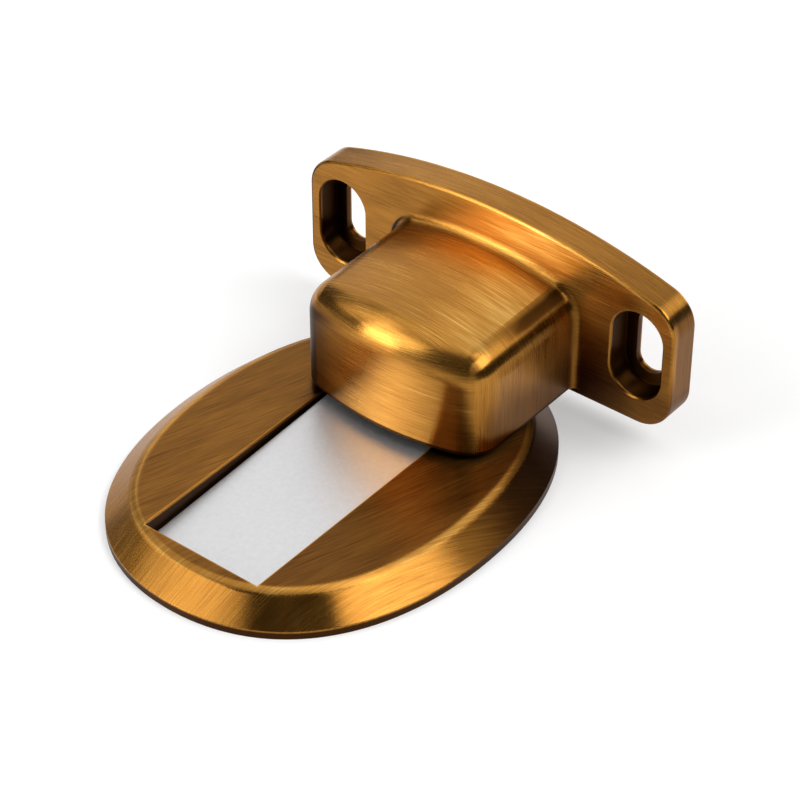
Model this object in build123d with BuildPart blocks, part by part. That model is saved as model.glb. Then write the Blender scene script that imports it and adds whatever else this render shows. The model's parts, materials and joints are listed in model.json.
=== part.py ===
from build123d import *
from math import asin, cos, radians, sin, sqrt, tan
import os

os.makedirs("parts", exist_ok=True)

# A concealed magnetic door stop in two halves, in millimetres, with +Z up.
# The origin is the centre of the floor plate's underside, on the floor.
# +X runs along the door and +Y runs from the floor plate towards the door.

# Floor plate: an oval casting with a flat top, a wide bevel and a low upright edge
floor_width = 52.0
floor_length = 66.0
floor_height = 4.8
floor_edge = 1.2
bevel_width = 4.0
edge_fullness = 0.62
flat_fullness = 0.64
ridge_round = 2.5

# Recess in the floor plate that the catch flap lies in, which reaches in under the housing
recess_width = 18.9
recess_land = 2.4
recess_reach = 13.1
recess_rim_break = 0.15
window_length = 9.5

# Cored underside of the floor plate
core_margin = 1.2
core_rib = 2.6
core_roof = 1.9
core_corner = 1.5

# Countersunk screw holes, hidden under the flap
floor_screw_spacing = 22.0
floor_screw_inset = 3.8
floor_screw_hole = 3.6
floor_screw_head = 6.4

# Catch flap: a steel plate with two round ears at its hinged end
flap_thickness = 1.6
flap_drop = 2.2
flap_tip_drop = 0.1
flap_side_gap = 0.25
flap_end_gap = 0.5
flap_hinge_gap = 0.3
flap_seat_gap = 0.05
flap_tip_round = 1.2
flap_edge_break = 0.2
ear_diameter = 1.5
ear_length = 2.0
ear_clearance = 0.08
ear_end_gap = 0.2

# Door bracket: a mounting plate with an arched top and a wing on each side of the housing
door_offset = 1.7
door_gap = 0.9
wing_width = 15.5
plate_height = 24.1
plate_arch = 5.2
plate_thickness = 4.8
plate_drop = 1.1
plate_standoff = 0.9
plate_top_round = 5.0
plate_foot_round = 5.0
plate_edge_round = 0.5

# Screw slots of the mounting plate, each with a counterbore for the screw's head
slot_side_margin = 5.8
slot_lift = 0.4
slot_head_width = 8.1
slot_head_depth = 3.8
slot_width = 4.5
slot_travel = 5.45
slot_rim_break = 0.2

# Housing of the door bracket: a hollow with a curved nose and a sloping, arched roof
housing_width = 30.6
housing_depth = 23.2
housing_wall = 2.2
nose_radius = 42.0
nose_corner_round = 4.8
roof_step = 5.9
roof_wall = 5.2
roof_arch = 2.4
roof_slope = 1.5
roof_round = 4.6
root_round = 1.2

# Pocket cored into the back of the mounting plate, behind the housing
back_core_width = 22.0
back_core_height = 11.0
back_core_depth = 2.6
back_core_corner = 1.5

# Moulded holder that fills the hollow, and the magnet that it carries
holder_fit = 0.15
holder_floor = 1.0
holder_wall = 1.4
holder_side = 3.65
holder_stop_gap = 0.4
catch_depth = 1.3
magnet_fit = 0.1
magnet_head_gap = 0.3
magnet_edge = 0.3

# Length by which a cut runs past a face, and width of the band that an edge on a face is found in
overcut = 1.0
edge_band = 0.01

# Places along Y, from the floor plate to the door
flat_half_width = floor_width / 2 - bevel_width
flat_half_length = floor_length / 2 - bevel_width
plate_front = flat_half_length + plate_standoff
nose_y = plate_front - housing_depth
recess_near = -(flat_half_length - recess_land)
recess_far = nose_y + recess_reach
recess_length = recess_far - recess_near

# Hinge and slope of the flap as it lies on its seat
hinge_y = recess_near + flap_thickness / 2 + flap_hinge_gap
hinge_z = floor_height - flap_drop - flap_thickness / 2
flap_length = recess_far - flap_end_gap - hinge_y
flap_slope = asin((flap_drop - flap_tip_drop) / flap_length)
flap_width = recess_width - 2 * flap_side_gap
flap_tip_y = hinge_y + flap_length * cos(flap_slope)

# Heights and widths of the door bracket
housing_bottom = floor_height + door_gap
plate_bottom = housing_bottom - plate_drop
plate_top = plate_bottom + plate_height
plate_shoulder = plate_top - plate_arch
plate_width = housing_width + 2 * wing_width
roof_top = plate_top - roof_step
roof_edge = roof_top - roof_arch
hollow_height = roof_top - roof_wall - housing_bottom

# The slots stand a little above the middle of the plate, below its arched top
slot_x = plate_width / 2 - slot_side_margin
arch_radius = ((plate_width / 2) ** 2 + plate_arch**2) / (2 * plate_arch)
arch_above_slot = plate_top - arch_radius + sqrt(arch_radius**2 - slot_x**2)
slot_height = (plate_bottom + arch_above_slot) / 2 + slot_lift

# The magnet fills what the holder's walls leave, and its pocket ends in line with the step behind the flap's tip
holder_inset = housing_wall + holder_fit
magnet_width = housing_width - 2 * (holder_inset + holder_side + magnet_fit)
nose_sag = nose_radius - sqrt(nose_radius**2 - (magnet_width / 2) ** 2)
magnet_near = nose_y + holder_inset + nose_sag + holder_wall + magnet_fit
stop_y = flap_tip_y + holder_stop_gap
magnet_far = stop_y - magnet_fit
magnet_rise = catch_depth + holder_floor
magnet_height = hollow_height - magnet_rise - magnet_head_gap


def recess_floor(y):
    """Gives the height of the sloping seat under the flap at a distance y along the plate."""
    below_axis = (flap_thickness / 2 + flap_seat_gap) / cos(flap_slope)
    return hinge_z + (y - hinge_y) * tan(flap_slope) - below_axis


def oval(half_width, half_length, fullness):
    """Draws an oval in the current sketch. A fullness of 0.552 gives an ellipse, and more is squarer."""
    with BuildLine() as outline:
        Bezier(
            (half_width, 0),
            (half_width, fullness * half_length),
            (fullness * half_width, half_length),
            (0, half_length),
        )
        mirror(about=Plane.YZ)
        mirror(about=Plane.XZ)
    make_face(outline.edges())


def arched_outline(half_width, bottom, shoulder, top):
    """Draws an upright outline with straight sides and an arched top in the current sketch."""
    with BuildLine() as outline:
        ThreePointArc((-half_width, shoulder), (0, top), (half_width, shoulder))
        Polyline((half_width, shoulder), (half_width, bottom), (-half_width, bottom), (-half_width, shoulder))
    make_face(outline.edges())


def housing_plan(inset, back):
    """Draws the housing's plan, moved in from its outer walls by inset, as far as the line y = back."""
    half_width = housing_width / 2 - inset
    nose = nose_y + inset
    radius = nose_radius - inset
    corner = nose + radius - sqrt(radius**2 - half_width**2)
    with BuildLine() as outline:
        ThreePointArc((-half_width, corner), (0, nose), (half_width, corner))
        Polyline((half_width, corner), (half_width, back), (-half_width, back), (-half_width, corner))
    make_face(outline.edges())
    fillet(vertices().group_by(Axis.Y)[0], nose_corner_round - inset)


# Floor plate
with BuildPart() as floor_plate:
    with BuildSketch(Plane.XY):
        oval(floor_width / 2, floor_length / 2, edge_fullness)
    extrude(amount=floor_edge)
    with BuildSketch(Plane.XY.offset(floor_edge)):
        oval(floor_width / 2, floor_length / 2, edge_fullness)
    with BuildSketch(Plane.XY.offset(floor_height)):
        oval(flat_half_width, flat_half_length, flat_fullness)
    loft(ruled=True)
    fillet(faces().sort_by(Axis.Z)[-1].edges(), ridge_round)

    # The recess has a sloping seat, and a window at the hinged end that the flap is put in through
    window_end = recess_near + window_length
    with BuildSketch(Plane.YZ):
        with BuildLine():
            Polyline(
                (recess_near, -overcut),
                (window_end, -overcut),
                (window_end, recess_floor(window_end)),
                (recess_far, recess_floor(recess_far)),
                (recess_far, floor_height + overcut),
                (recess_near, floor_height + overcut),
                close=True,
            )
        make_face()
    extrude(amount=recess_width / 2, both=True, mode=Mode.SUBTRACT)
    with BuildSketch(Plane.XY.offset(floor_height)):
        with Locations((0, (recess_near + recess_far) / 2)):
            Rectangle(recess_width + 2 * recess_rim_break, recess_length + 2 * recess_rim_break)
    extrude(amount=-recess_rim_break, taper=45, mode=Mode.SUBTRACT)

    # Slots for the flap's ears, open below
    with BuildSketch(Plane.YZ):
        with Locations((hinge_y, hinge_z)):
            Circle(ear_diameter / 2 + ear_clearance)
        with Locations((hinge_y, (hinge_z - overcut) / 2)):
            Rectangle(ear_diameter + 2 * ear_clearance, hinge_z + overcut)
    extrude(amount=recess_width / 2 + ear_length + ear_end_gap, both=True, mode=Mode.SUBTRACT)

    # Cored pockets below the flat, on both sides of the recess
    with BuildSketch(Plane.XY):
        oval(flat_half_width - core_margin, flat_half_length - core_margin, flat_fullness)
        Rectangle(recess_width + 2 * core_rib, floor_length, mode=Mode.SUBTRACT)
        fillet(vertices(), core_corner)
    extrude(amount=floor_height - core_roof, mode=Mode.SUBTRACT)

    for step in range(2):
        screw_y = recess_far - floor_screw_inset - step * floor_screw_spacing
        with Locations((0, screw_y, recess_floor(screw_y + floor_screw_head / 2))):
            CounterSinkHole(floor_screw_hole / 2, floor_screw_head / 2)
floor_plate.part.label = "floor_plate"
export_step(floor_plate.part, "parts/floor_plate.step")

# Catch flap, lying on its sloping seat
flap_side = Plane(
    origin=(0, hinge_y, hinge_z), x_dir=(0, cos(flap_slope), sin(flap_slope)), z_dir=(1, 0, 0)
)
with BuildPart() as catch_flap:
    with BuildSketch(flap_side):
        with Locations((flap_length / 2, 0)):
            Rectangle(flap_length, flap_thickness)
        Circle(flap_thickness / 2)
    extrude(amount=flap_width / 2, both=True)
    tip_corners = faces().sort_by(Axis.Y)[-1].edges().filter_by(Axis.X, reverse=True)
    fillet(tip_corners, flap_tip_round)
    chamfer(faces().sort_by(Axis.Z)[-1].edges().group_by(Axis.Y)[-1], flap_edge_break)
    with BuildSketch(flap_side):
        Circle(ear_diameter / 2)
    extrude(amount=recess_width / 2 + ear_length, both=True)
catch_flap.part.label = "catch_flap"
export_step(catch_flap.part, "parts/catch_flap.step")

# Mounting plate of the door bracket, before it meets the housing
plate_face = Plane(origin=(door_offset, plate_front, 0), x_dir=(1, 0, 0), z_dir=(0, -1, 0))
with BuildPart() as mounting_plate:
    with BuildSketch(plate_face):
        arched_outline(plate_width / 2, plate_bottom, plate_shoulder, plate_top)
        fillet(vertices().group_by(Axis.Y)[0], plate_foot_round)
        fillet(vertices().group_by(Axis.Y)[-1], plate_top_round)
    extrude(amount=-plate_thickness)
    fillet(faces().sort_by(Axis.Y)[0].edges(), plate_edge_round)

# Door bracket: the housing and the mounting plate are one casting
plan_plane = Plane(origin=(door_offset, 0, housing_bottom))
with BuildPart() as door_bracket:
    with BuildSketch(plan_plane):
        housing_plan(0, plate_front + plate_thickness / 2)
    extrude(amount=roof_top + overcut - housing_bottom)

    # The roof is arched across and falls towards the nose
    with BuildSketch(plate_face.offset(-plate_thickness / 2)):
        arched_outline(housing_width / 2, housing_bottom - overcut, roof_edge, roof_top)
    roof_fall = (0, -cos(radians(roof_slope)), -sin(radians(roof_slope)))
    extrude(amount=2 * housing_depth, dir=roof_fall, mode=Mode.INTERSECT)
    fillet(faces().sort_by(Axis.Z)[-1].edges().sort_by(Axis.Y)[:-1], roof_round)

    add(mounting_plate.part)
    root_edges = edges().filter_by_position(Axis.Y, plate_front - edge_band, plate_front + edge_band)
    root_edges = root_edges.filter_by_position(Axis.Z, housing_bottom + edge_band, roof_top + edge_band)
    root_edges = root_edges.filter_by_position(
        Axis.X, door_offset - housing_width / 2 - edge_band, door_offset + housing_width / 2 + edge_band
    )
    fillet(root_edges, root_round)

    # The hollow is open below
    with BuildSketch(plan_plane):
        housing_plan(housing_wall, plate_front)
    extrude(amount=hollow_height, mode=Mode.SUBTRACT)

    # Pocket in the back, which keeps the casting's wall even
    with BuildSketch(plate_face.offset(-plate_thickness)):
        with Locations((0, slot_height)):
            RectangleRounded(back_core_width, back_core_height, back_core_corner)
    extrude(amount=back_core_depth, mode=Mode.SUBTRACT)

    # Upright screw slots with counterbores, whose rims are broken
    for side in (-1, 1):
        slot_place = (side * slot_x, slot_height)
        with BuildSketch(plate_face):
            with Locations(slot_place):
                SlotCenterToCenter(slot_travel, slot_width, rotation=90)
        extrude(amount=-plate_thickness, mode=Mode.SUBTRACT)
        with BuildSketch(plate_face):
            with Locations(slot_place):
                SlotCenterToCenter(slot_travel, slot_head_width, rotation=90)
        extrude(amount=-slot_head_depth, mode=Mode.SUBTRACT)
        with BuildSketch(plate_face):
            with Locations(slot_place):
                SlotCenterToCenter(slot_travel, slot_head_width + 2 * slot_rim_break, rotation=90)
        extrude(amount=-slot_rim_break, taper=45, mode=Mode.SUBTRACT)
door_bracket.part.label = "door_bracket"
export_step(door_bracket.part, "parts/door_bracket.step")

# Magnet holder: a moulding with a step below that the flap's tip comes to rest against
with BuildPart() as magnet_holder:
    with BuildSketch(plan_plane):
        housing_plan(holder_inset, plate_front - holder_fit)
    extrude(amount=hollow_height - holder_fit)
    with BuildSketch(plan_plane):
        with Locations((0, (nose_y + stop_y) / 2)):
            Rectangle(housing_width, stop_y - nose_y)
    extrude(amount=catch_depth, mode=Mode.SUBTRACT)

    # Pocket for the magnet, open above
    with BuildSketch(plan_plane.offset(magnet_rise)):
        with Locations((0, (magnet_near + magnet_far) / 2)):
            Rectangle(magnet_width + 2 * magnet_fit, magnet_far - magnet_near + 2 * magnet_fit)
    extrude(amount=hollow_height, mode=Mode.SUBTRACT)
magnet_holder.part.label = "magnet_holder"
export_step(magnet_holder.part, "parts/magnet_holder.step")

# Magnet, standing on the floor of its pocket
with BuildPart() as magnet:
    with BuildSketch(plan_plane.offset(magnet_rise)):
        with Locations((0, (magnet_near + magnet_far) / 2)):
            Rectangle(magnet_width, magnet_far - magnet_near)
    extrude(amount=magnet_height)
    chamfer(edges(), magnet_edge)
magnet.part.label = "magnet"
export_step(magnet.part, "parts/magnet.step")
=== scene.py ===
import json
from math import cos, pi, radians, sin

import bmesh
import bpy
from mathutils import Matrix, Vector


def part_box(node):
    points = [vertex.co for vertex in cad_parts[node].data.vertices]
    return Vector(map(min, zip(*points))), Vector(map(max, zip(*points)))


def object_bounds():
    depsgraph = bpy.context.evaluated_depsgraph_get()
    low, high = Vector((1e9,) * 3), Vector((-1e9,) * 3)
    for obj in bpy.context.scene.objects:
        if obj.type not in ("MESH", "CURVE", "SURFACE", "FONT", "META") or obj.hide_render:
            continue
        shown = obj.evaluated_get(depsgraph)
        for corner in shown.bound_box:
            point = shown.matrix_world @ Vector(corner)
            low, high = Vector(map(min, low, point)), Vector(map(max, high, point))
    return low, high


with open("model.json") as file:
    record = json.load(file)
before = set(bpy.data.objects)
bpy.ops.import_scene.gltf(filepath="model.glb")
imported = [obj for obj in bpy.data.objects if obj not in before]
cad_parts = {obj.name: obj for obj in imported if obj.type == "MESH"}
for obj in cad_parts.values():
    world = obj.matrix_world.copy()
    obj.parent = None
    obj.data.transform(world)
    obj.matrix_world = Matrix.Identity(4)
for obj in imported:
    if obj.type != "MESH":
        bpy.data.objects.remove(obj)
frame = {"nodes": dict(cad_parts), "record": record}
cad_low, cad_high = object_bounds()

# A concealed magnetic door stop: a bronzed floor plate with a steel catch flap in its recess, and a bronzed
# bracket for the door whose housing holds a magnet. Lengths are in metres, or in millimetres where a name says so.
# Most pairs of numbers are spans over which a mask rises, or falls where the larger number is first. With a softness
# beside it, a pair is a band where the mask is full. Two shades or darknesses are those at the ends of a span.

MM = 0.001

# Camera, at the photograph's viewing angle
CAMERA_PLACE = Vector((0.179964, -0.211717, 0.229039))
CAMERA_AZIMUTH = 38.60
CAMERA_ELEVATION = 37.85
CAMERA_LENS_MM = 121.63
CAMERA_SENSOR_MM = 36.0

# Stage
FLOOR_HALF_SIZE = 6.0
FLOOR_BELOW = 0.02 * MM
FLOOR_WHITE = 0.68
FLOOR_GLOW = 0.35
ROOM_LIGHT = 0.05

# Soft boxes: azimuth from +Y towards +X and elevation of each as the object sees it, in degrees, with its distance,
# width, height and radiance
SOFT_BOXES = {
    "right_box": dict(azimuth=78, elevation=46, distance=1.0, width=0.74, height=0.50, radiance=4.1),
    "right_overhead_box": dict(azimuth=60, elevation=66, distance=1.0, width=0.30, height=0.30, radiance=3.0),
    "front_left_box": dict(azimuth=210, elevation=36, distance=1.0, width=0.56, height=0.64, radiance=3.0),
    "front_left_core": dict(azimuth=212, elevation=14, distance=0.95, width=0.30, height=0.36, radiance=7.0),
    "front_left_fill": dict(azimuth=246, elevation=44, distance=1.0, width=0.34, height=0.70, radiance=1.5),
    "overhead_box": dict(azimuth=300, elevation=80, distance=1.0, width=0.85, height=0.85, radiance=1.0),
    "back_left_box": dict(azimuth=334, elevation=34, distance=1.2, width=1.80, height=0.90, radiance=0.97),
    "back_right_box": dict(azimuth=36, elevation=36, distance=1.0, width=0.55, height=0.42, radiance=0.9),
    "left_box": dict(azimuth=288, elevation=8, distance=1.2, width=0.75, height=0.30, radiance=0.9),
}

# Colours of the antique bronze, from black hollows and painted shade to gold worn edges and painted highlights
BRONZE_TONES = [
    (0.00, (0.004, 0.0016, 0.0004)),
    (0.25, (0.075, 0.0270, 0.0045)),
    (0.50, (0.310, 0.1320, 0.0220)),
    (0.75, (0.500, 0.2280, 0.0400)),
    (1.00, (0.850, 0.5200, 0.1400)),
]

# Brushed lines of the bronze: length and gap in millimetres and detail of each size
LINE_SIZES = {"Fine": (6.0, 0.13, 3.0), "Medium": (10.0, 0.42, 3.0), "Broad": (16.0, 3.5, 2.0)}
LINE_ROUGHNESS = 0.6

# What each size of line, wear and painted highlights, hollows and painted shade add to tone, roughness and relief
STREAK_WEIGHTS = {"Fine": 0.46, "Medium": 0.22, "Broad": 0.24}
TONE_WEIGHTS = {"Wear": 0.34, "Hollow": -0.50}
PLAIN_ROUGHNESS = 0.25
ROUGHNESS_WEIGHTS = {"Fine": 0.10, "Broad": 0.10, "Hollow": 0.15, "Wear": 0.16}
PLAIN_RELIEF = 0.5
RELIEF_WEIGHTS = {"Fine": 0.7, "Medium": 0.3}

# Finish of the bronze: how far its wear and its hollows reach, how open to the air such places are, the depth of
# its lines, the softness of its edges and the stretch of its highlights across the brushing
WEAR_REACH = 0.45 * MM
WEAR_OPENNESS = (0.95, 0.45)
HOLLOW_REACH = 5.0 * MM
HOLLOW_OPENNESS = (0.90, 0.25)
PROBE_SAMPLES = 8
EDGE_SAMPLES = 6
BRONZE_LINE_DEPTH = 0.006 * MM
BRONZE_EDGE = 0.15 * MM
HIGHLIGHT_STRETCH = 0.88
QUARTER_TURN = 0.25

# Brushing of the floor plate, turned from its length in degrees, and directions of the bracket's front and sides
FLOOR_BRUSH_TURN = 18
FRONT_FACING = (0.45, 0.80)
SIDE_FACING = (0.60, 0.85)

# Painted shade in the insides of the screw slots: how far it reaches sideways and upwards from the middle of each,
# where it starts and ends, measured forwards from the plate's back, and how dark it is
SLOT_REACH_MM = (4.3, 7.0)
SLOT_SOFT_MM = 0.05
SLOT_START_MM = (4.7, 4.1)
SLOT_END_MM = (0.15, 0.40)
SLOT_DARKNESS = 0.9

# Painted shade and dark reflections on the bracket. Depths are measured backwards from the front of the mounting
# plate, and facings are parts of the surface's direction.
# Painted shade along the lower rim of the housing
RIM_HEIGHTS_MM = (-0.5, 0.45)
RIM_SOFT_MM = 0.12
RIM_DEPTHS_MM = (0.0, -1.0)
# Painted shade on the right side of the housing, darker at its foot, and on the left corner of its nose, both
# darker towards the plate
RIGHT_FACING = (0.70, 0.97)
SIDE_HEIGHTS_MM = (9.0, 17.0)
SIDE_SHADES = (1.25, 0.32)
LEFT_FACING = (-0.05, -0.38)
LEFT_SLOPE = (0.6, 0.2)
LEFT_SHADE = 2.1
SIDE_DEPTHS_MM = (-13.0, 0.0)
SIDE_DARKNESS = (0.48, 0.62)
SIDE_END_MM = (1.5, 0.5)
# Painted shade on the right end of the plate
PLATE_END_DEPTHS_MM = (0.5, 1.5)
PLATE_END_DARKNESS = 0.58
# Painted dark reflection along the upper right edge of the housing
SMEAR_FACING = (0.34, 0.74)
SMEAR_SOFT = 0.12
SMEAR_SLOPE = (0.30, 0.50)
SMEAR_START_MM = (-17.0, -8.0)
SMEAR_END_MM = (-0.2, -1.0)
# Painted shade in the root of the housing on the right
ROOT_DEPTHS_MM = (-1.4, 0.3)
ROOT_SOFT_MM = 0.3
ROOT_HEIGHTS_MM = (22.0, 19.0)
ROOT_ACROSS_MM = (0.0, 12.0)
ROOT_DARKNESS = 0.55
# Painted shade on the top of the plate, darker to the right
PLATE_TOP_FACING = (0.80, 0.93)
PLATE_TOP_DEPTHS_MM = (0.0, 0.8)
PLATE_TOP_ACROSS_MM = (-16.0, 16.0)
PLATE_TOP_DARKNESS = 0.22
# Painted shade on the wings of the plate, the right one darker at its foot
RIGHT_WING_ACROSS_MM = (0.0, 12.0)
RIGHT_WING_HEIGHTS_MM = (20.0, 8.0)
RIGHT_WING_DARKNESS = 0.68
LEFT_WING_ACROSS_MM = (8.0, -8.0)
LEFT_WING_DARKNESS = 0.34
WING_DEPTHS_MM = (-0.5, 0.0)
WING_SLOPE = (0.85, 0.55)

# Painted highlights of the bracket: the strip below the plate's arched top, and the right of the housing's roof
ARCH_RADIUS_MM = 94
STRIP_BELOW_TOP_MM = (7.5, 3.0)
STRIP_START_MM = (-16.0, 12.0)
STRIP_END_MM = (22.0, 8.0)
STRIP_DEPTHS_MM = (-0.5, 0.5)
STRIP_SOFT_MM = 0.4
STRIP_WEAR = 0.55
ROOF_FACING = (0.80, 0.95)
ROOF_DEPTHS_MM = (-1.5, -4.0)
ROOF_ACROSS_MM = (0.0, 12.0)
ROOF_WEAR = 0.5

# Painted shade and dark reflections on the floor plate
# Painted shade on the low upright edge
FLOOR_EDGE_HEIGHTS_MM = (1.2, 0.8)
FLOOR_EDGE_DARKNESS = 0.85
# Painted shade on the walls of the recess, which goes this far beyond the flap's front and back ends
RECESS_HALF_WIDTH_MM = 9.6
RECESS_ENDS_MM = (0.4, 0.6)
RECESS_SOFT_MM = 0.03
WALL_BELOW_TOP_MM = (0.10, 0.45)
# Painted dark reflection on the bevel towards the door, with the direction that it faces along x and y
DOORWARDS = (0.45, 0.90)
BACK_BEVEL_FACING = (0.18, 0.40)
BACK_BEVEL_DARKNESS = 0.7
# Painted shade on the flat top, darker to the right
FLAT_FACING = (0.975, 0.998)
FLAT_ACROSS_MM = (0.0, 10.0)
FLAT_DARKNESS = (0.36, 0.52)

# Painted highlights of the floor plate
# Painted highlight along the ridge between the flat top and the bevel
RIDGE_FACING = (0.82, 0.98)
RIDGE_SOFT = 0.02
RIDGE_WEAR = 0.55
# Painted highlight on the rim of the recess, measured outwards from just inside its sides and from a gap before
# the flap's front end
RECESS_RIM_INSET_MM = 0.15
RECESS_RIM_GAP_MM = 0.3
RECESS_RIM_MM = (-0.05, 0.25)
RECESS_RIM_SOFT_MM = 0.08
RECESS_RIM_BELOW_TOP_MM = (0.35, 0.15)


class Bench:
    """Places nodes in a shader tree and wires them together."""

    def __init__(self, tree):
        self.tree = tree

    def add(self, kind, **settings):
        node = self.tree.nodes.new(kind)
        for name, value in settings.items():
            setattr(node, name, value)
        return node

    def feed(self, socket, value):
        """Wires a socket to another one, or sets it to a plain value."""
        if isinstance(value, bpy.types.NodeSocket):
            self.tree.links.new(value, socket)
        else:
            socket.default_value = value

    def math(self, operation, first, second=0.0):
        node = self.add("ShaderNodeMath", operation=operation)
        self.feed(node.inputs[0], first)
        self.feed(node.inputs[1], second)
        return node.outputs[0]

    def product(self, first, *others):
        for value in others:
            first = self.math("MULTIPLY", first, value)
        return first

    def largest(self, first, *others):
        for value in others:
            first = self.math("MAXIMUM", first, value)
        return first

    def weighted_sum(self, start, *terms):
        """Adds value times weight for each pair in terms."""
        for value, weight in terms:
            start = self.math("ADD", start, self.math("MULTIPLY", value, weight))
        return start

    def scaled(self, vector, scales):
        node = self.add("ShaderNodeVectorMath", operation="MULTIPLY")
        self.feed(node.inputs[0], vector)
        self.feed(node.inputs[1], scales)
        return node.outputs[0]

    def remap(self, value, low, high, new_low=0.0, new_high=1.0):
        node = self.add("ShaderNodeMapRange", interpolation_type="SMOOTHSTEP")
        for socket, amount in zip(node.inputs, (value, low, high, new_low, new_high)):
            self.feed(socket, amount)
        return node.outputs[0]

    def inside(self, value, low, high, soft):
        """A mask of the values between low and high, with soft ends."""
        above = self.remap(value, low - soft, low + soft)
        below = self.remap(value, high + soft, high - soft)
        return self.math("MULTIPLY", above, below)

    def noise(self, vector, scale, detail, roughness, dimensions="3D"):
        node = self.add("ShaderNodeTexNoise", noise_dimensions=dimensions)
        self.feed(node.inputs["Vector"], vector)
        node.inputs["Scale"].default_value = scale
        node.inputs["Detail"].default_value = detail
        node.inputs["Roughness"].default_value = roughness
        return node.outputs[0]

    def ramp(self, value, stops):
        node = self.add("ShaderNodeValToRGB")
        elements = node.color_ramp.elements
        while len(elements) < len(stops):
            elements.new(1.0)
        for element, (place, colour) in zip(elements, stops):
            element.position = place
            element.color = (*colour, 1.0)
        self.feed(node.inputs[0], value)
        return node.outputs[0]

    def blend(self, factor, first, second):
        """Blends two numbers."""
        node = self.add("ShaderNodeMix", data_type="FLOAT")
        self.feed(node.inputs[0], factor)
        self.feed(node.inputs[2], first)
        self.feed(node.inputs[3], second)
        return node.outputs[0]

    def group(self, tree, **values):
        """Places a shared effect. A value's name is its socket's, in small letters."""
        node = self.add("ShaderNodeGroup", node_tree=tree)
        for name, value in values.items():
            self.feed(node.inputs[name.capitalize()], value)
        return node.outputs

    def surface_mm(self):
        """The point on the piece, in millimetres of the shared frame."""
        return self.scaled(self.add("ShaderNodeTexCoord").outputs["Object"], (1 / MM, 1 / MM, 1 / MM))

    def facing(self):
        """The three parts of the direction that the surface faces."""
        return self.split(self.add("ShaderNodeTexCoord").outputs["Normal"])

    def split(self, vector):
        node = self.add("ShaderNodeSeparateXYZ")
        self.feed(node.inputs[0], vector)
        return node.outputs

    def join(self, x, y, z):
        node = self.add("ShaderNodeCombineXYZ")
        for socket, value in zip(node.inputs, (x, y, z)):
            self.feed(socket, value)
        return node.outputs[0]


def new_effect(name, inputs, outputs):
    """Makes an empty shared effect and gives its bench, its input sockets and its output sockets."""
    tree = bpy.data.node_groups.new(name, "ShaderNodeTree")
    for label, kind, value in inputs:
        socket = tree.interface.new_socket(name=label, in_out="INPUT", socket_type=kind)
        if value is not None:
            socket.default_value = value
    for label, kind in outputs:
        tree.interface.new_socket(name=label, in_out="OUTPUT", socket_type=kind)
    bench = Bench(tree)
    return bench, bench.add("NodeGroupInput").outputs, bench.add("NodeGroupOutput").inputs


def make_brushed_lines():
    """Brushing lines that run along the first axis of the place given, in millimetres, and lie side by side
    along the second."""
    bench, given, made = new_effect(
        "brushed_lines",
        [("Place", "NodeSocketVector", None)],
        [(size, "NodeSocketFloat") for size in LINE_SIZES],
    )
    for size, (length, gap, detail) in LINE_SIZES.items():
        stretched = bench.scaled(given["Place"], (1 / length, 1 / gap, 0))
        lines = bench.noise(stretched, scale=1.0, detail=detail, roughness=LINE_ROUGHNESS, dimensions="2D")
        bench.feed(made[size], lines)
    return bench.tree


def make_openness_mask(name, reach, openness, from_inside):
    """A mask of the places that are less open to the air, or of outer edges if it is probed from inside."""
    bench, given, made = new_effect(name, [("Reach", "NodeSocketFloat", reach)], [("Mask", "NodeSocketFloat")])
    probe = bench.add("ShaderNodeAmbientOcclusion", samples=PROBE_SAMPLES, inside=from_inside, only_local=True)
    bench.feed(probe.inputs["Distance"], given["Reach"])
    bench.feed(made["Mask"], bench.remap(probe.outputs["AO"], *openness))
    return bench.tree


def make_antique_bronze():
    """Colour, roughness and relief of the bronze, from brushing, wear, hollows, painted shade and painted
    highlights.
    """
    bench, given, made = new_effect(
        "antique_bronze",
        [
            ("Fine", "NodeSocketFloat", 0.5), ("Medium", "NodeSocketFloat", 0.5), ("Broad", "NodeSocketFloat", 0.5),
            ("Wear", "NodeSocketFloat", 0.0), ("Hollow", "NodeSocketFloat", 0.0), ("Tone", "NodeSocketFloat", 0.6),
            ("Contrast", "NodeSocketFloat", 1.0),
        ],
        [("Colour", "NodeSocketColor"), ("Roughness", "NodeSocketFloat"), ("Relief", "NodeSocketFloat")],
    )
    causes = {size: bench.math("SUBTRACT", given[size], 0.5) for size in LINE_SIZES}
    causes.update(Wear=given["Wear"], Hollow=given["Hollow"])

    def weighted(weights):
        return [(causes[name], weight) for name, weight in weights.items()]

    streaks = bench.weighted_sum(0.0, *weighted(STREAK_WEIGHTS))
    clearness = bench.math("MULTIPLY", given["Contrast"], bench.math("SUBTRACT", 1.0, given["Hollow"]))
    tone = bench.weighted_sum(given["Tone"], (streaks, clearness), *weighted(TONE_WEIGHTS))
    bench.feed(made["Colour"], bench.ramp(tone, BRONZE_TONES))
    bench.feed(made["Roughness"], bench.weighted_sum(PLAIN_ROUGHNESS, *weighted(ROUGHNESS_WEIGHTS)))
    bench.feed(made["Relief"], bench.weighted_sum(PLAIN_RELIEF, *weighted(RELIEF_WEIGHTS)))
    return bench.tree


EFFECTS = {
    "lines": make_brushed_lines(),
    "edges": make_openness_mask("worn_edges", WEAR_REACH, WEAR_OPENNESS, from_inside=True),
    "hollows": make_openness_mask("dark_hollows", HOLLOW_REACH, HOLLOW_OPENNESS, from_inside=False),
    "bronze": make_antique_bronze(),
}


def new_material(name):
    material = bpy.data.materials.new(name)
    material.use_nodes = True
    bench = Bench(material.node_tree)
    return material, bench, material.node_tree.nodes["Principled BSDF"]


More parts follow.
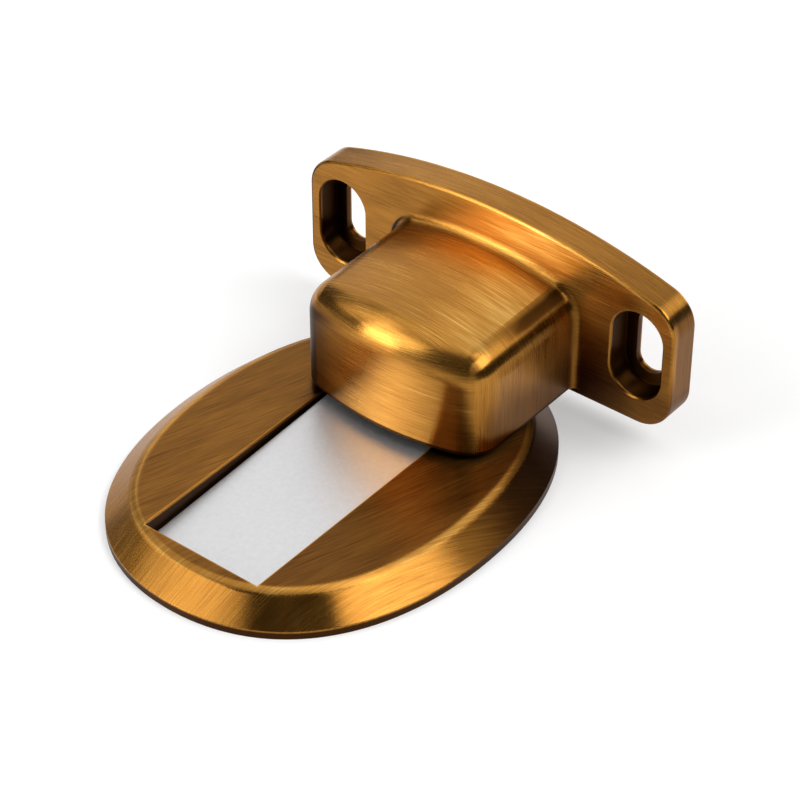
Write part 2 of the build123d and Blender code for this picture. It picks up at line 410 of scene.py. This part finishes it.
def finish_surface(bench, shader, relief, depth, edge_round):
    """Feeds the shader's normal from a relief of the given depth, over edges that are softened a little."""
    rounded = bench.add("ShaderNodeBevel", samples=EDGE_SAMPLES)
    rounded.inputs["Radius"].default_value = edge_round
    bump = bench.add("ShaderNodeBump")
    bump.inputs["Strength"].default_value = 1.0
    bump.inputs["Distance"].default_value = depth
    bench.feed(bump.inputs["Height"], relief)
    bench.feed(bump.inputs["Normal"], rounded.outputs[0])
    bench.feed(shader.inputs["Normal"], bump.outputs[0])


def bronze_material(name, brushing, tone, contrast, dark_place, worn_place):
    """Antique bronze. The function brushing gives the brushed lines and their direction on the piece's own faces.
    The next gives a mask of painted shade and dark reflections, darkened like the patina of the hollows, and the
    last a mask of painted highlights, brightened like the wear of outer edges."""
    material, bench, shader = new_material(name)
    fine, medium, broad, direction = brushing(bench)
    dark = dark_place(bench)
    # Painted shade joins the patina of the hollows, and painted highlights join the wear of outer edges.
    hollow = bench.largest(bench.group(EFFECTS["hollows"], reach=HOLLOW_REACH)["Mask"], dark)
    edges = bench.group(EFFECTS["edges"], reach=WEAR_REACH)["Mask"]
    wear = bench.largest(bench.product(edges, bench.math("SUBTRACT", 1.0, dark)), worn_place(bench))
    bronze = bench.group(
        EFFECTS["bronze"], fine=fine, medium=medium, broad=broad, wear=wear, hollow=hollow, tone=tone,
        contrast=contrast,
    )
    bench.feed(shader.inputs["Base Color"], bronze["Colour"])
    bench.feed(shader.inputs["Roughness"], bronze["Roughness"])
    bench.feed(shader.inputs["Tangent"], direction)
    shader.inputs["Metallic"].default_value = 1.0
    shader.inputs["Anisotropic"].default_value = HIGHLIGHT_STRETCH
    shader.inputs["Anisotropic Rotation"].default_value = QUARTER_TURN
    finish_surface(bench, shader, bronze["Relief"], depth=BRONZE_LINE_DEPTH, edge_round=BRONZE_EDGE)
    return material


def floor_plate_brushing(bench):
    """The floor plate is brushed nearly along its length."""
    x, y, _ = bench.split(bench.surface_mm())
    sine, cosine = sin(radians(FLOOR_BRUSH_TURN)), cos(radians(FLOOR_BRUSH_TURN))
    along = bench.weighted_sum(0.0, (x, sine), (y, cosine))
    across = bench.weighted_sum(0.0, (x, cosine), (y, -sine))
    lines = bench.group(EFFECTS["lines"], place=bench.join(along, across, 0.0))
    return [lines[size] for size in LINE_SIZES] + [bench.join(sine, cosine, 0.0)]


def door_bracket_brushing(bench):
    """The bracket's top and front are brushed along the door, and its sides upright."""
    x, y, z = bench.split(bench.surface_mm())
    on_top = bench.group(EFFECTS["lines"], place=bench.join(x, y, 0.0))
    on_front = bench.group(EFFECTS["lines"], place=bench.join(x, z, 0.0))
    on_sides = bench.group(EFFECTS["lines"], place=bench.join(z, y, 0.0))
    rightwards, backwards, upwards = bench.facing()
    front = bench.remap(bench.math("ABSOLUTE", backwards), *FRONT_FACING)
    side = bench.remap(bench.math("ABSOLUTE", rightwards), *SIDE_FACING)
    lines = []
    for size in LINE_SIZES:
        along_door = bench.blend(front, on_top[size], on_front[size])
        lines.append(bench.blend(side, along_door, on_sides[size]))
    along_x = bench.blend(front, upwards, 1.0)
    along_z = bench.blend(front, bench.math("MULTIPLY", rightwards, -1.0), 0.0)
    return lines + [bench.join(along_x, 0.0, along_z)]


def slot_insides(bench, x, y, z):
    """The insides of the screw slots, from just behind the plate's face to just before its back."""
    half_width, half_height = SLOT_REACH_MM
    masks = []
    for mount in frame["record"]["mounts"]:
        if mount["name"].startswith("door_slot"):
            slot_x, back_y, slot_z = (value / MM for value in mount["pos_m"])
            before_back = bench.math("SUBTRACT", back_y, y)
            masks.append(bench.product(
                bench.inside(x, slot_x - half_width, slot_x + half_width, SLOT_SOFT_MM),
                bench.inside(z, slot_z - half_height, slot_z + half_height, SLOT_SOFT_MM),
                bench.remap(before_back, *SLOT_START_MM, 0.0, SLOT_DARKNESS),
                bench.remap(before_back, *SLOT_END_MM),
            ))
    return bench.largest(*masks)


def door_bracket_dark_places(bench):
    """Painted shade and dark reflections in the insides of the screw slots, on the rim, sides, upper right edge and
    root of the housing, and on the right end, top and wings of the plate."""
    x, y, z = bench.split(bench.surface_mm())
    rightwards, _, upwards = bench.facing()
    holder_low, holder_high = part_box("magnet_holder")
    rim_low, plate_face = holder_low[2] / MM, holder_high[1] / MM
    depth = bench.math("SUBTRACT", y, plate_face)
    rim = bench.product(
        bench.inside(z, rim_low + RIM_HEIGHTS_MM[0], rim_low + RIM_HEIGHTS_MM[1], RIM_SOFT_MM),
        bench.remap(depth, *RIM_DEPTHS_MM),
    )
    on_right = bench.remap(rightwards, *RIGHT_FACING)
    right_side = bench.product(on_right, bench.remap(z, *SIDE_HEIGHTS_MM, *SIDE_SHADES))
    left_corner = bench.product(
        bench.remap(rightwards, *LEFT_FACING), bench.remap(upwards, *LEFT_SLOPE), LEFT_SHADE
    )
    sides = bench.product(
        bench.largest(right_side, left_corner), bench.remap(depth, *SIDE_DEPTHS_MM, *SIDE_DARKNESS),
        bench.remap(depth, *SIDE_END_MM),
    )
    plate_end = bench.product(on_right, bench.remap(depth, *PLATE_END_DEPTHS_MM, 0.0, PLATE_END_DARKNESS))
    smear = bench.product(
        bench.inside(rightwards, *SMEAR_FACING, SMEAR_SOFT), bench.remap(upwards, *SMEAR_SLOPE),
        bench.remap(depth, *SMEAR_START_MM), bench.remap(depth, *SMEAR_END_MM),
    )
    root = bench.product(
        bench.inside(depth, *ROOT_DEPTHS_MM, ROOT_SOFT_MM), bench.remap(z, *ROOT_HEIGHTS_MM),
        bench.remap(x, *ROOT_ACROSS_MM, 0.0, ROOT_DARKNESS),
    )
    plate_top = bench.product(
        bench.remap(upwards, *PLATE_TOP_FACING), bench.remap(depth, *PLATE_TOP_DEPTHS_MM),
        bench.remap(x, *PLATE_TOP_ACROSS_MM, 0.0, PLATE_TOP_DARKNESS),
    )
    right_wing = bench.product(
        bench.remap(z, *RIGHT_WING_HEIGHTS_MM, 0.0, RIGHT_WING_DARKNESS), bench.remap(x, *RIGHT_WING_ACROSS_MM)
    )
    left_wing = bench.remap(x, *LEFT_WING_ACROSS_MM, 0.0, LEFT_WING_DARKNESS)
    wings = bench.product(
        bench.largest(right_wing, left_wing), bench.remap(depth, *WING_DEPTHS_MM), bench.remap(upwards, *WING_SLOPE)
    )
    return bench.largest(slot_insides(bench, x, y, z), rim, sides, plate_end, smear, root, plate_top, wings)


def door_bracket_worn_places(bench):
    """Painted highlights on the strip of the plate's face above the housing and on the right of the roof."""
    x, y, z = bench.split(bench.surface_mm())
    upwards = bench.facing()[2]
    plate_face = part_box("magnet_holder")[1][1] / MM
    low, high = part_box("door_bracket")
    middle, crown = (low[0] + high[0]) / 2 / MM, high[2] / MM
    depth = bench.math("SUBTRACT", y, plate_face)
    across = bench.math("SUBTRACT", x, middle)
    fall = bench.product(across, across, 1 / (2 * ARCH_RADIUS_MM))
    below_top = bench.math("SUBTRACT", bench.math("SUBTRACT", crown, z), fall)
    strip = bench.product(
        bench.remap(below_top, *STRIP_BELOW_TOP_MM), bench.remap(across, *STRIP_START_MM, 0.0, STRIP_WEAR),
        bench.remap(across, *STRIP_END_MM), bench.inside(depth, *STRIP_DEPTHS_MM, STRIP_SOFT_MM),
    )
    roof = bench.product(
        bench.remap(upwards, *ROOF_FACING), bench.remap(depth, *ROOF_DEPTHS_MM),
        bench.remap(across, *ROOF_ACROSS_MM, 0.0, ROOF_WEAR),
    )
    return bench.largest(strip, roof)


def floor_plate_dark_places(bench):
    """Painted shade on the low upright edge, the walls of the recess and, a little, the flat top, and painted dark
    reflection on the bevel towards the door.
    """
    x, y, z = bench.split(bench.surface_mm())
    rightwards, backwards, upwards = bench.facing()
    edge = bench.remap(z, *FLOOR_EDGE_HEIGHTS_MM, 0.0, FLOOR_EDGE_DARKNESS)
    flap_low, flap_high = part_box("catch_flap")
    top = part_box("floor_plate")[1][2] / MM
    walls = bench.product(
        bench.inside(x, -RECESS_HALF_WIDTH_MM, RECESS_HALF_WIDTH_MM, RECESS_SOFT_MM),
        bench.inside(y, flap_low[1] / MM - RECESS_ENDS_MM[0], flap_high[1] / MM + RECESS_ENDS_MM[1], RECESS_SOFT_MM),
        bench.remap(bench.math("SUBTRACT", top, z), *WALL_BELOW_TOP_MM),
    )
    doorwards = bench.weighted_sum(0.0, (rightwards, DOORWARDS[0]), (backwards, DOORWARDS[1]))
    back_bevel = bench.remap(doorwards, *BACK_BEVEL_FACING, 0.0, BACK_BEVEL_DARKNESS)
    flat = bench.product(bench.remap(upwards, *FLAT_FACING), bench.remap(x, *FLAT_ACROSS_MM, *FLAT_DARKNESS))
    return bench.largest(edge, walls, back_bevel, flat)


def floor_plate_worn_places(bench):
    """Painted highlights on the rounded ridge between the flat top and the bevel, and on the rim of the recess."""
    x, y, z = bench.split(bench.surface_mm())
    upwards = bench.facing()[2]
    ridge = bench.product(bench.inside(upwards, *RIDGE_FACING, RIDGE_SOFT), RIDGE_WEAR)
    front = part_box("catch_flap")[0][1] / MM - RECESS_RIM_GAP_MM
    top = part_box("floor_plate")[1][2] / MM
    beside = bench.math("SUBTRACT", bench.math("ABSOLUTE", x), RECESS_HALF_WIDTH_MM - RECESS_RIM_INSET_MM)
    outside = bench.largest(beside, bench.math("SUBTRACT", front, y))
    rim = bench.product(
        bench.inside(outside, *RECESS_RIM_MM, RECESS_RIM_SOFT_MM),
        bench.remap(bench.math("SUBTRACT", top, z), *RECESS_RIM_BELOW_TOP_MM),
    )
    return bench.largest(ridge, rim)


def steel_material():
    """Satin steel of the catch flap, with a fine mottling."""
    material, bench, shader = new_material("satin_steel_flap")
    place = bench.surface_mm()
    mottle = bench.noise(place, scale=1.6, detail=4.0, roughness=0.6)
    grain = bench.noise(place, scale=9.0, detail=3.0, roughness=0.6)
    mottle_weight, grain_weight = 0.6, 0.5
    shade = bench.weighted_sum(
        0.5, (bench.math("SUBTRACT", mottle, 0.5), mottle_weight), (bench.math("SUBTRACT", grain, 0.5), grain_weight)
    )
    colour = bench.ramp(shade, [(0.2, (0.70, 0.70, 0.71)), (0.8, (0.86, 0.86, 0.87))])
    bench.feed(shader.inputs["Base Color"], colour)
    bench.feed(shader.inputs["Roughness"], bench.remap(shade, low=0.0, high=1.0, new_low=0.34, new_high=0.46))
    shader.inputs["Metallic"].default_value = 0.9
    finish_surface(bench, shader, grain, depth=0.004 * MM, edge_round=0.12 * MM)
    return material


def moulding_material():
    """Black moulded plastic of the magnet holder, with a spark-eroded grain."""
    material, bench, shader = new_material("black_moulding")
    grain = bench.noise(bench.surface_mm(), scale=5.0, detail=3.0, roughness=0.6)
    colour = bench.ramp(grain, [(0.3, (0.016, 0.016, 0.017)), (0.7, (0.030, 0.030, 0.031))])
    bench.feed(shader.inputs["Base Color"], colour)
    bench.feed(shader.inputs["Roughness"], bench.remap(grain, low=0.2, high=0.8, new_low=0.45, new_high=0.62))
    finish_surface(bench, shader, grain, depth=0.01 * MM, edge_round=0.15 * MM)
    return material


def ferrite_material():
    """Ground ferrite of the magnet, dark grey with grinding lines."""
    material, bench, shader = new_material("ground_ferrite")
    place = bench.surface_mm()
    lines = bench.group(EFFECTS["lines"], place=place)["Fine"]
    speckle = bench.noise(place, scale=4.0, detail=4.0, roughness=0.7)
    shade = bench.blend(0.5, lines, speckle)
    colour = bench.ramp(shade, [(0.3, (0.045, 0.045, 0.048)), (0.7, (0.105, 0.105, 0.110))])
    bench.feed(shader.inputs["Base Color"], colour)
    bench.feed(shader.inputs["Roughness"], bench.remap(shade, low=0.2, high=0.8, new_low=0.38, new_high=0.58))
    shader.inputs["Metallic"].default_value = 0.3
    finish_surface(bench, shader, lines, depth=0.006 * MM, edge_round=0.1 * MM)
    return material


def dress(node, material):
    """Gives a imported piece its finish."""
    slots = frame["nodes"][node].data.materials
    slots.clear()
    slots.append(material)


def make_floor():
    """A pale floor that renders white and keeps the object's shadow."""
    mesh = bpy.data.meshes.new("floor")
    sheet = bmesh.new()
    bmesh.ops.create_grid(sheet, x_segments=1, y_segments=1, size=FLOOR_HALF_SIZE)
    bmesh.ops.translate(sheet, verts=sheet.verts, vec=(0, 0, -FLOOR_BELOW))
    sheet.to_mesh(mesh)
    sheet.free()
    floor = bpy.data.objects.new("floor", mesh)
    bpy.context.scene.collection.objects.link(floor)

    material = bpy.data.materials.new("pale_floor")
    material.use_nodes = True
    material.node_tree.nodes.clear()
    bench = Bench(material.node_tree)
    matt = bench.add("ShaderNodeBsdfDiffuse")
    matt.inputs["Color"].default_value = (FLOOR_WHITE, FLOOR_WHITE, FLOOR_WHITE, 1.0)
    rays = bench.add("ShaderNodeLightPath").outputs
    seen = bench.largest(rays["Is Camera Ray"], rays["Is Glossy Ray"], rays["Is Transmission Ray"])
    glow = bench.add("ShaderNodeEmission")
    bench.feed(glow.inputs["Strength"], bench.math("MULTIPLY", seen, FLOOR_GLOW))
    both = bench.add("ShaderNodeAddShader")
    bench.feed(both.inputs[0], matt.outputs[0])
    bench.feed(both.inputs[1], glow.outputs[0])
    bench.feed(bench.add("ShaderNodeOutputMaterial").inputs["Surface"], both.outputs[0])
    mesh.materials.append(material)


def make_lights():
    """Soft boxes round the object, in an evenly lit room."""
    target = (cad_low + cad_high) / 2
    for name, box in SOFT_BOXES.items():
        lamp = bpy.data.lights.new(name, "AREA")
        lamp.shape = "RECTANGLE"
        lamp.size, lamp.size_y = box["width"], box["height"]
        lamp.energy = box["radiance"] * pi * box["width"] * box["height"]
        holder = bpy.data.objects.new(name, lamp)
        azimuth, elevation = radians(box["azimuth"]), radians(box["elevation"])
        direction = Vector((sin(azimuth) * cos(elevation), cos(azimuth) * cos(elevation), sin(elevation)))
        holder.location = target + direction * box["distance"]
        holder.rotation_euler = direction.to_track_quat("Z", "Y").to_euler()
        bpy.context.scene.collection.objects.link(holder)
    room = bpy.data.worlds.new("room")
    room.use_nodes = True
    background = room.node_tree.nodes["Background"]
    background.inputs["Color"].default_value = (1, 1, 1, 1)
    background.inputs["Strength"].default_value = ROOM_LIGHT
    bpy.context.scene.world = room


def make_camera():
    """The camera stands where the photograph was taken from."""
    camera = bpy.data.cameras.new("camera")
    camera.lens = CAMERA_LENS_MM
    camera.sensor_width = CAMERA_SENSOR_MM
    holder = bpy.data.objects.new("camera", camera)
    holder.location = CAMERA_PLACE
    holder.rotation_euler = (radians(90 - CAMERA_ELEVATION), 0, radians(CAMERA_AZIMUTH))
    bpy.context.scene.collection.objects.link(holder)
    bpy.context.scene.camera = holder


dress("floor_plate", bronze_material(
    "bronze_floor_plate", floor_plate_brushing, tone=0.58, contrast=1.0,
    dark_place=floor_plate_dark_places, worn_place=floor_plate_worn_places,
))
dress("door_bracket", bronze_material(
    "bronze_door_bracket", door_bracket_brushing, tone=0.66, contrast=1.2,
    dark_place=door_bracket_dark_places, worn_place=door_bracket_worn_places,
))
dress("catch_flap", steel_material())
dress("magnet_holder", moulding_material())
dress("magnet", ferrite_material())
make_floor()
make_lights()
make_camera()
bpy.context.scene.view_settings.view_transform = "Standard"
